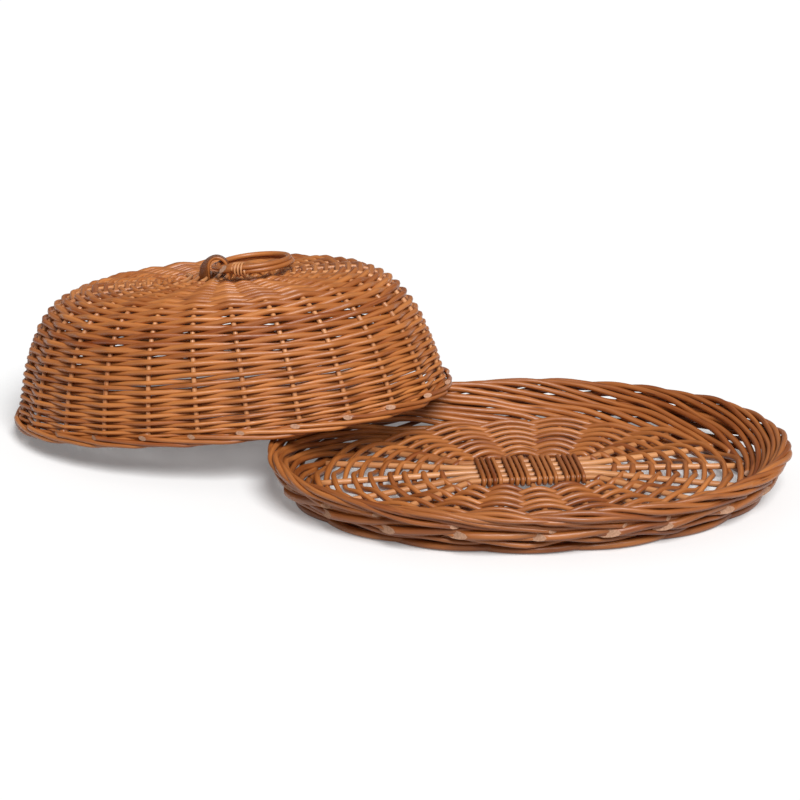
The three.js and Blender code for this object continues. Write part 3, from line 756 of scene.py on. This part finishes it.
def floor_stick_half(kind, place):
    """One half of a floor stick from the middle outwards: where it is straight to, and its end."""
    share = 1.0 / (2 * (CROSS_STICKS + LONG_STICKS))
    straight_x = (CROSS_STICKS - 1) / 2 * CROSS_STICK_SPACING + 2 * STICK_RADIUS
    straight_y = (LONG_STICKS - 1) / 2 * LONG_STICK_SPACING + 2 * STICK_RADIUS
    if kind == "cross":
        bend = (place * CROSS_STICK_SPACING, straight_y)
        end_share = QUARTER_ROUND - place * share
    else:
        bend = (straight_x, place * LONG_STICK_SPACING)
        end_share = place * share
    angle = arc_angles(FLOOR_HALF_LENGTH, FLOOR_HALF_WIDTH, np.array([end_share]))[0]
    end = (
        (FLOOR_HALF_LENGTH - STICK_END_GAP) * math.cos(angle),
        (FLOOR_HALF_WIDTH - STICK_END_GAP) * math.sin(angle),
    )
    return np.array(bend), np.array(end)


def floor_stick_path(kind, place):
    """The whole way of a floor stick, from one end to the other."""
    bend, end = floor_stick_half(kind, place)
    middle_height = CROSS_STICK_HEIGHT if kind == "cross" else LONG_STICK_HEIGHT
    steps = np.linspace(0.0, 1.0, STICK_STATIONS)
    way = bend + (end - bend) * steps[:, None]
    heights = middle_height + (FLOOR_HEIGHT - middle_height) * steps
    half = np.column_stack([way, heights])
    return np.vstack([(half * OTHER_HALF[kind])[::-1], half])


def make_floor_sticks():
    """The cross sticks and the long sticks of the floor."""
    for kind, number, place in floor_sticks():
        bm = bmesh.new()
        path = placed(tray_frame, floor_stick_path(kind, place))
        sweep(bm, path, STICK_RADIUS, fineness=ROD_FINENESS)
        name = f"tray_{kind}_stick_{number}"
        finish_piece(name + "_willow", bm, stake_willow, "willow_stake", "tray", name)


def stick_crossings(half_length, half_width):
    """The angles at which the sticks' ends cross an oval row, in order."""
    steps = np.linspace(0.0, 1.0, CROSSING_SAMPLES)[:, None]
    angles = []
    for kind, _, place in floor_sticks():
        bend, end = floor_stick_half(kind, place)
        middle = (bend + bend * OTHER_HALF[kind][:2]) / 2
        way = np.vstack([middle + (bend - middle) * steps, bend + (end - bend) * steps])
        inside = np.hypot(way[:, 0] / half_length, way[:, 1] / half_width) < 1.0
        x, y = way[np.nonzero(inside)[0][-1]]
        angle = math.atan2(y / half_width, x / half_length)
        angles.append(angle)
        angles.append(-angle if kind == "cross" else math.pi - angle)
    return np.sort(np.mod(angles, FULL_TURN))


def make_floor_weave():
    """The weavers of the floor, over one stick and under the next, and the wraps round the middle."""
    bm = bmesh.new()
    swing = FLOOR_SWING_SHARE * (STICK_RADIUS + FLOOR_WEAVER_RADIUS)
    for row in range(FLOOR_ROWS):
        stray = draw.uniform(-FLOOR_ROW_STRAY, FLOOR_ROW_STRAY)
        share = row / (FLOOR_ROWS - 1) + stray * (0 < row < FLOOR_ROWS - 1)
        half_length = FLOOR_FIRST_ROW[0] + (FLOOR_LAST_ROW[0] - FLOOR_FIRST_ROW[0]) * share
        half_width = FLOOR_FIRST_ROW[1] + (FLOOR_LAST_ROW[1] - FLOOR_FIRST_ROW[1]) * share
        crossings = stick_crossings(half_length, half_width)
        ends = len(crossings)
        marks = np.concatenate([[crossings[-1] - FULL_TURN], crossings, [crossings[0] + FULL_TURN]])
        sticks = np.linspace(0.0, ends, ends * GAP_STATIONS, endpoint=False)
        angles = np.interp(sticks, np.arange(-1, ends + 1), marks)
        heights = FLOOR_HEIGHT + swing * np.cos(np.pi * (sticks + row))
        sway = wander(sticks / ends, FLOOR_ROW_SWAY, 1.0)
        path = oval_points(half_length + sway, half_width + sway, angles, heights)
        radius = FLOOR_WEAVER_RADIUS * draw.uniform(*FLOOR_WEAVER_SIZES)
        sweep(bm, placed(tray_frame, path), radius, closed=True)
    add_floor_wraps(bm)
    finish_piece("tray_floor_weavers", bm, rod_willow, "willow_weave", "tray", "tray_floor_weave")


def squared(values):
    """Sines or cosines pulled outward, so that a round turn gets flat sides."""
    return np.sign(values) * np.abs(values) ** WRAP_SQUARENESS


def add_floor_wraps(bm):
    """Turns of weaver round the long sticks, between the cross sticks."""
    reach_y = (LONG_STICKS - 1) / 2 * LONG_STICK_SPACING + STICK_RADIUS + WRAP_RADIUS
    reach_z = STICK_RADIUS + WRAP_RADIUS
    angles = np.linspace(0.0, FULL_TURN, WRAP_STATIONS, endpoint=False)
    across = reach_y * squared(np.cos(angles))
    heights = LONG_STICK_HEIGHT + reach_z * squared(np.sin(angles))
    for gap in range(CROSS_STICKS - 1):
        start = (gap - (CROSS_STICKS - 1) / 2) * CROSS_STICK_SPACING
        for wrap in range(WRAPS_BETWEEN):
            x = start + CROSS_STICK_SPACING * (wrap + 1) / (WRAPS_BETWEEN + 1)
            path = np.column_stack([np.full(WRAP_STATIONS, x), across, heights])
            sweep(bm, placed(tray_frame, path), WRAP_RADIUS, closed=True)


# Cover


def build_cover_frame():
    """The cover's frame, from the ring's hinge and the plane of the border."""
    swing = next(joint for joint in frame["joints"] if joint["name"] == "ring_swing")
    hinge = Vector(swing["pos_m"])
    y_axis = -Vector(swing["axis"]).normalized()
    points = np.array([vertex.co for vertex in frame["nodes"]["cover_border"].data.vertices])
    directions = np.linalg.svd(points - points.mean(axis=0), full_matrices=False)[2]
    z_axis = Vector(directions[2])
    if z_axis.z < 0.0:
        z_axis = -z_axis
    x_axis = y_axis.cross(z_axis).normalized()
    z_axis = x_axis.cross(y_axis)
    matrix = Matrix((x_axis, y_axis, z_axis)).transposed().to_4x4()
    matrix.translation = hinge - HINGE_HEIGHT * z_axis
    return matrix


cover_frame = build_cover_frame()
stake_shares = np.arange(STAKE_ENDS) / STAKE_ENDS
stake_stations = np.arange(STAKE_ENDS * GAP_STATIONS) / GAP_STATIONS


def cover_profile(t):
    """Inset and height on the cover's side, from its edge at 0 to its crown at 1, and its direction."""
    crown = (CROWN_INSET, COVER_HEIGHT - CROWN_RISE)
    controls = ((0.0, 0.0), WALL_PULL, SHOULDER_PULL, crown)
    places = []
    rates = []
    for axis in range(2):
        a, b, c, d = (control[axis] for control in controls)
        rest = 1.0 - t
        places.append(a * rest**3 + 3 * b * rest**2 * t + 3 * c * rest * t**2 + d * t**3)
        rates.append(3 * ((b - a) * rest**2 + 2 * (c - b) * rest * t + (d - c) * t**2))
    speed = np.hypot(*rates)
    return places[0], places[1], rates[0] / speed, rates[1] / speed


def wall_point(t, shares, depths):
    """Points on the cover's side at t up its profile, this deep under its outer face."""
    inset, height, across, upward = cover_profile(t)
    size = 1.0 - inset / COVER_HALF_LENGTH
    return oval_points(
        COVER_HALF_LENGTH * size - depths * upward,
        COVER_HALF_WIDTH * size - depths * upward,
        arc_angles(COVER_HALF_LENGTH, COVER_HALF_WIDTH, shares),
        height - depths * across,
    )


def crown_point(insets, shares, depths):
    """Points on the crown, this far in from its edge and this deep under its outer face."""
    half_widths = CROWN_HALF_WIDTH - insets
    dip = CROWN_RISE * (half_widths / CROWN_HALF_WIDTH) ** 2
    return oval_points(
        CROWN_HALF_LENGTH - insets,
        half_widths,
        arc_angles(COVER_HALF_LENGTH, COVER_HALF_WIDTH, shares),
        COVER_HEIGHT - depths - dip,
    )


def wall_rows():
    """The rows of weavers up the cover's side, each with its place and pitch, and a way to find t."""
    ts = np.linspace(0.0, 1.0, PROFILE_SAMPLES)
    inset, height, _, _ = cover_profile(ts)
    lengths = np.concatenate([[0.0], np.cumsum(np.hypot(np.diff(inset), np.diff(height)))])
    woven = lengths[-1] - WOVEN_FROM
    low_share = LOW_ROW_PITCH * WALL_ROWS / woven
    rows = []
    for row in range(FIRST_ROW, WALL_ROWS):
        share = row / WALL_ROWS
        place = WOVEN_FROM + woven * (low_share * share + (1.0 - low_share) * share**2)
        pitch = woven * (low_share + 2.0 * (1.0 - low_share) * share) / WALL_ROWS
        rows.append((row, place, pitch))
    return rows, lambda places: np.interp(places, lengths, ts)


def row_sway(sways, row):
    """The sway of one row, between those of its two bands, and less near the border and the crown."""
    band, part = divmod(max(row, 0) / SWAY_ROWS, 1.0)
    sway = sways[int(band)] * (1.0 - part) + sways[int(band) + 1] * part
    return sway * min(1.0, max(row, 0) / SWAY_ROWS, (WALL_ROWS - row) / SWAY_ROWS)


def zigzag(stakes):
    """Swing of a weaver at these stakes, from 1 at one to -1 at the next, with its bends rounded."""
    return np.arcsin(WEAVER_BEND * np.cos(np.pi * stakes)) / math.asin(WEAVER_BEND)


def strung(at_stakes, outer_at_stakes, swings):
    """A closed weaver strung from stake to stake, with its swings to the outer face and back."""
    count = len(at_stakes)
    stations = np.arange(count * GAP_STATIONS) / GAP_STATIONS
    corners = np.arange(count + 1)
    columns = []
    for axis in range(3):
        inner = np.append(at_stakes[:, axis], at_stakes[0, axis])
        outer = np.append(outer_at_stakes[:, axis], outer_at_stakes[0, axis])
        reach = np.interp(stations, corners, outer - inner)
        columns.append(np.interp(stations, corners, inner) + swings * reach)
    path = np.column_stack(columns)
    before = np.roll(path, 1, axis=0)
    after = np.roll(path, -1, axis=0)
    return (before + WEAVER_STIFFNESS * path + after) / (WEAVER_STIFFNESS + 2.0)


def make_cover_wall():
    """The weavers of the cover's side: before one stake and behind the next, row upon row."""
    bm = bmesh.new()
    rows, profile_place = wall_rows()
    sways = [wander(stake_shares, ROW_SWAY, SWAY_WAVE) for _ in range(SWAY_BANDS)]
    for row, place, pitch in rows:
        stray = row_sway(sways, row) + wander(stake_shares, ROW_STRAY, SWAY_WAVE)
        ts = profile_place(place + pitch * stray)
        swing = np.interp(row, (SHOULDER_ROW, WALL_ROWS), (WEAVE_SWING, CROWN_SWING))
        fill = np.interp(row, (SHOULDER_ROW, WALL_ROWS), (WEAVER_FILL, SHOULDER_FILL))
        at_stakes = wall_point(ts, stake_shares, STAKE_DEPTH)
        outer = wall_point(ts, stake_shares, STAKE_DEPTH - swing)
        path = strung(at_stakes, outer, zigzag(stake_stations + row + 1))
        thickest = draw.random()
        taper = 1.0 + WEAVER_TAPER * np.cos(FULL_TURN * (stake_stations / STAKE_ENDS - thickest))
        radii = fill * pitch * draw.uniform(*WEAVER_SIZES) * taper
        sweep(bm, placed(cover_frame, path), radii, closed=True)
    finish_piece("cover_wall_weavers", bm, weaver_willow, "willow_weave", "cover", "cover_weave")


def make_cover_crown():
    """The weavers of the crown, row inside row to the middle where the ribs cross."""
    bm = bmesh.new()
    for row in range(CROWN_ROWS):
        insets = CROWN_PITCH * row + wander(stake_shares, CROWN_STRAY, SWAY_WAVE)
        at_stakes = crown_point(insets, stake_shares, STAKE_DEPTH)
        outer = crown_point(insets, stake_shares, STAKE_DEPTH - CROWN_SWING)
        path = strung(at_stakes, outer, zigzag(stake_stations + WALL_ROWS + row + 1))
        radius = CROWN_FILL * CROWN_PITCH * draw.uniform(*CROWN_SIZES)
        sweep(bm, placed(cover_frame, path), radius, closed=True)
    finish_piece("cover_crown_weavers", bm, weaver_willow, "willow_weave", "cover", "cover_weave")


def stake_half(share, slath_depth):
    """A stake from the border up the side and in over the crown to the middle weave."""
    ts = np.linspace(*STAKE_REACH, STAKE_SIDE_STATIONS)
    side = wall_point(ts, np.full(len(ts), share), STAKE_DEPTH)
    insets = np.linspace(0.0, CROWN_PITCH * CROWN_ROWS, STAKE_CROWN_STATIONS)
    sunk = np.clip((insets - SLATH_INSET) / SLATH_SLOPE, 0.0, 1.0)
    depths = STAKE_DEPTH + (slath_depth - STAKE_DEPTH) * sunk
    crown = crown_point(insets, np.full(len(insets), share), depths)
    return np.vstack([side, crown])


def make_cover_ribs():
    """The stakes of the cover: each runs from border to border, the cross ones over the long ones."""
    for kind, pairs in (("long", LONG_RIB_PAIRS), ("cross", CROSS_RIB_PAIRS)):
        depth = STAKE_DEPTH + (RIB_RADIUS if kind == "long" else -RIB_RADIUS)
        for index in range(2 * pairs + 1):
            place = (index - pairs) / STAKE_ENDS
            half = stake_half(place if kind == "long" else QUARTER_ROUND - place, depth)
            path = np.vstack([half, (half * OTHER_HALF[kind])[::-1]])
            reach = np.abs(np.linspace(-1.0, 1.0, len(path)))
            radii = RIB_RADIUS * np.interp(reach, (0.0, RIB_THIN_REACH), (RIB_THIN_SHARE, 1.0))
            bm = bmesh.new()
            sweep(bm, placed(cover_frame, path), radii)
            name = f"cover_{kind}_rib_{index + 1}"
            finish_piece(name + "_willow", bm, stake_willow, "willow_stake", "cover", name)


def make_cover_border():
    """The stakes' own ends: behind one stake, out under the edge, and along the outside to a cut."""
    bm = bmesh.new()
    for stake in range(STAKE_ENDS):
        last = draw.uniform(*BORDER_ENDS)
        steps = np.linspace(0.0, last, int(last * BORDER_STATIONS) + 1)
        insets = smoothed(np.interp(steps, BORDER_STEPS, BORDER_INSETS), BORDER_ROUNDING)
        heights = smoothed(np.interp(steps, BORDER_STEPS, BORDER_HEIGHTS), BORDER_ROUNDING)
        heights = heights + wander(steps, BORDER_SWAY, BORDER_SWAY_WAVE)
        angles = arc_angles(COVER_HALF_LENGTH, COVER_HALF_WIDTH, (stake - steps) / STAKE_ENDS)
        path = oval_points(COVER_HALF_LENGTH - insets, COVER_HALF_WIDTH - insets, angles, heights)
        outward = oval_outward(path[-1], COVER_HALF_LENGTH, COVER_HALF_WIDTH)
        outward = np.array(cover_frame.to_3x3() @ Vector(outward))
        radii = BORDER_RADIUS * np.linspace(BORDER_ROOT_SHARE, 1.0, len(path))
        sweep(bm, placed(cover_frame, path), radii, cut=(outward, draw.uniform(*TIP_CUTS)))
    finish_piece("cover_border_rods", bm, weaver_willow, "willow_rod", "cover", "cover_border")


# Handle


def bend_strap(bm, middle):
    """Makes the strap in bm upright: an arch of this middle radius on two straight legs."""
    angles = np.linspace(0.0, np.pi, STRAP_STATIONS)
    arch = [(middle * math.cos(a), HINGE_HEIGHT + middle * math.sin(a)) for a in angles]
    line = [(middle, STRAP_FOOT), *arch, (-middle, STRAP_FOOT)]
    verts = [bm.verts.new((x, -STRAP_WIDTH / 2, z)) for x, z in line]
    edges = [bm.edges.new(pair) for pair in zip(verts, verts[1:])]
    band = bmesh.ops.extrude_edge_only(bm, edges=edges)["geom"]
    moved = [item for item in band if isinstance(item, bmesh.types.BMVert)]
    bmesh.ops.translate(bm, verts=moved, vec=(0.0, STRAP_WIDTH, 0.0))
    bmesh.ops.recalc_face_normals(bm, faces=bm.faces)
    bmesh.ops.solidify(bm, geom=bm.faces[:], thickness=STRAP_THICKNESS)
    bmesh.ops.recalc_face_normals(bm, faces=bm.faces)
    rims = [edge for edge in bm.edges if edge.calc_face_angle(0.0) > STRAP_RIM_ANGLE]
    bmesh.ops.bevel(
        bm,
        geom=rims,
        offset=STRAP_ROUNDING,
        offset_type="OFFSET",
        affect="EDGES",
        segments=STRAP_ROUNDING_STEPS,
        profile=0.5,
        material=-1,
    )


def is_split_wood(face):
    """Whether a face of the strap is its split inner side or edge, which has no bark."""
    middle = face.calc_center_median() - Vector((0.0, 0.0, HINGE_HEIGHT))
    middle.y = 0.0
    middle.z = max(middle.z, 0.0)
    return face.normal.dot(middle.normalized()) < BARK_FACING


def leaning_strap(point, middle):
    """A place on the strap, once its legs lean apart and turn a little as they go down to the crown."""
    side = math.copysign(1.0, point.x)
    leg = int(side > 0.0)
    top = HINGE_HEIGHT + middle
    down = min(max((top - point.z) / (top - COVER_HEIGHT), 0.0), 1.0)
    across = point.x - side * middle
    turned = Matrix.Rotation(STRAP_TWISTS[leg] * down, 2) @ Vector((across, point.y))
    return Vector((side * (middle + STRAP_LEANS[leg] * down) + turned.x, turned.y, point.z))


def make_handle_strap():
    """The flat strap: an arch over the ring, with both feet pushed down through the crown."""
    bm = bmesh.new()
    middle = STRAP_INNER + STRAP_THICKNESS / 2
    bend_strap(bm, middle)
    places = bm.loops.layers.uv.new("UVMap")
    for face in bm.faces:
        face.smooth = True
        face.material_index = SPLIT if is_split_wood(face) else BARK
        for loop in face.loops:
            x, y, z = loop.vert.co
            along = math.atan2(max(z - HINGE_HEIGHT, 0.0), x) * middle + max(HINGE_HEIGHT - z, 0.0)
            loop[places].uv = (along, y / STRAP_WIDTH)
    for vert in bm.verts:
        vert.co = leaning_strap(vert.co, middle)
    turn = Matrix.Rotation(STRAP_TURN, 4, "Z")
    bmesh.ops.transform(bm, matrix=cover_frame @ turn, verts=bm.verts)
    strap = finish_piece("handle_strap_bark", bm, strap_bark, "bark_strap", "cover", "handle_strap")
    strap.data.materials.append(weaver_willow)


def ring_point(angles, outward, upward):
    """Points round the handle's ring, which lies a little up in front, moved outward and upward."""
    radius = RING_RADIUS + outward
    return np.column_stack(
        [
            RING_RADIUS + radius * np.cos(angles),
            radius * np.sin(angles),
            HINGE_HEIGHT + upward + RING_LIFT * (1.0 - np.sin(angles)) / 2,
        ]
    )


def make_handle_ring():
    """One rod wound round twice, from its tip in the binding to its thick cut butt near the strap."""
    bm = bmesh.new()
    bound = BINDING_ANGLE - RING_BUTT_ANGLE
    wound = FULL_TURN * RING_ROUNDS
    turned = np.linspace(wound + bound, 0.0, RING_STATIONS)
    marks = [share * bound for share in RING_BUTT_SHARES]
    radii = np.interp(turned, [*marks, wound], [*RING_BUTT_RADII, STRAND_TIP_RADIUS])
    phases = RING_BUTT_PHASE + turned / RING_ROUNDS + STRAND_ROLL * np.sin(turned)
    straight = RING_BUTT_STRAIGHT * RING_RADIUS / 2 * np.clip(bound - turned, 0.0, bound) ** 2
    outward = straight + STRAND_OFFSET * np.cos(phases)
    upward = STRAND_OFFSET * np.sin(phases)
    path = placed(cover_frame, ring_point(RING_BUTT_ANGLE + turned, outward, upward))
    facing = np.array(cover_frame.to_3x3() @ Vector(RING_CUT_FACING).normalized())
    sweep(bm, path, radii, fineness=ROD_FINENESS, cut=(facing, RING_CUT_SLOPE))
    finish_piece("handle_ring_rods", bm, rod_willow, "willow_rod", "ring", "handle_ring")


def make_handle_binding():
    """A thin skein wound round the ring's rod and its butt."""
    bm = bmesh.new()
    turns = np.linspace(0.0, BINDING_TURNS, BINDING_TURNS * BINDING_STATIONS + 1)
    angles = BINDING_ANGLE + BINDING_WIDTH / RING_RADIUS * (turns / BINDING_TURNS - 0.5)
    reach = STRAND_OFFSET + STRAND_RADIUS + BINDING_RADIUS
    outward = reach * np.cos(FULL_TURN * turns)
    upward = reach * np.sin(FULL_TURN * turns)
    path = placed(cover_frame, ring_point(angles, outward, upward))
    sweep(bm, path, BINDING_RADIUS, tone=BINDING_TONE)
    finish_piece("handle_binding_skein", bm, stake_willow, "willow_weave", "ring", "handle_binding")


# Stage


def build_pale_floor():
    """A floor that is white where it is seen, keeps a soft shadow and throws back less light."""
    material, tree, bsdf = new_finish("pale floor")
    tree.nodes.remove(bsdf)
    thrown = coloured(tree, "ShaderNodeBsdfDiffuse", FLOOR_THROWN)
    white = coloured(tree, "ShaderNodeBsdfDiffuse", WHITE)
    glow = coloured(tree, "ShaderNodeEmission", WHITE)
    seen = shader_mix(tree, FLOOR_GLOW, white, glow)
    path = tree.nodes.new("ShaderNodeLightPath")
    shown = math_node(tree, "MAXIMUM", path.outputs["Is Camera Ray"], path.outputs["Is Glossy Ray"])
    shown = math_node(tree, "MAXIMUM", shown, path.outputs["Is Transmission Ray"])
    surface = shader_mix(tree, shown, thrown, seen)
    feed(tree, surface, tree.nodes["Material Output"].inputs["Surface"])
    return material


def make_stage():
    """The floor that the tray and the cover's edge stand on."""
    bm = bmesh.new()
    bmesh.ops.create_grid(bm, x_segments=1, y_segments=1, size=FLOOR_REACH)
    floor = new_object("floor", bm, build_pale_floor())


def make_world():
    """Soft even light from all round, white where the camera looks past the floor."""
    world = bpy.data.worlds.new("studio")
    world.use_nodes = True
    tree = world.node_tree
    sky = tree.nodes["Background"]
    feed(tree, WHITE, sky.inputs["Color"])
    feed(tree, SKY_STRENGTH, sky.inputs["Strength"])
    white = coloured(tree, "ShaderNodeBackground", WHITE)
    path = tree.nodes.new("ShaderNodeLightPath")
    surface = shader_mix(tree, path.outputs["Is Camera Ray"], sky.outputs[0], white)
    feed(tree, surface, tree.nodes["World Output"].inputs["Surface"])
    bpy.context.scene.world = world


def make_key_light():
    """A broad soft light from above and in front."""
    data = bpy.data.lights.new("key", "SUN")
    data.energy = KEY_STRENGTH
    data.angle = KEY_SPREAD
    key = bpy.data.objects.new("key", data)
    key.rotation_euler = Vector(KEY_WAY).to_track_quat("-Z", "Y").to_euler()
    bpy.context.scene.collection.objects.link(key)


def make_camera():
    """The photo's camera: in front of the tray, turned and raised by the view angles, then shifted."""
    right = Vector((math.cos(VIEW_AZIMUTH), math.sin(VIEW_AZIMUTH), 0.0))
    back = Vector(
        (
            math.sin(VIEW_AZIMUTH) * math.cos(VIEW_ELEVATION),
            -math.cos(VIEW_AZIMUTH) * math.cos(VIEW_ELEVATION),
            math.sin(VIEW_ELEVATION),
        )
    )
    up = back.cross(right)
    data = bpy.data.cameras.new("photo camera")
    data.sensor_width = SENSOR_WIDTH
    data.lens = LENS_PIXELS * SENSOR_WIDTH / IMAGE_PIXELS
    camera = bpy.data.objects.new("photo camera", data)
    matrix = Matrix((right, up, back)).transposed().to_4x4()
    matrix.translation = tray_middle + VIEW_DISTANCE * back + VIEW_RIGHT * right + VIEW_UP * up
    camera.matrix_world = matrix
    bpy.context.scene.collection.objects.link(camera)
    bpy.context.scene.camera = camera


make_camera()
make_stage()
make_world()
make_key_light()
bpy.context.scene.view_settings.view_transform = "Standard"

make_tray_rods()
make_tray_foot()
make_floor_sticks()
make_floor_weave()
make_cover_wall()
make_cover_crown()
make_cover_ribs()
make_cover_border()
make_handle_strap()
make_handle_ring()
make_handle_binding()
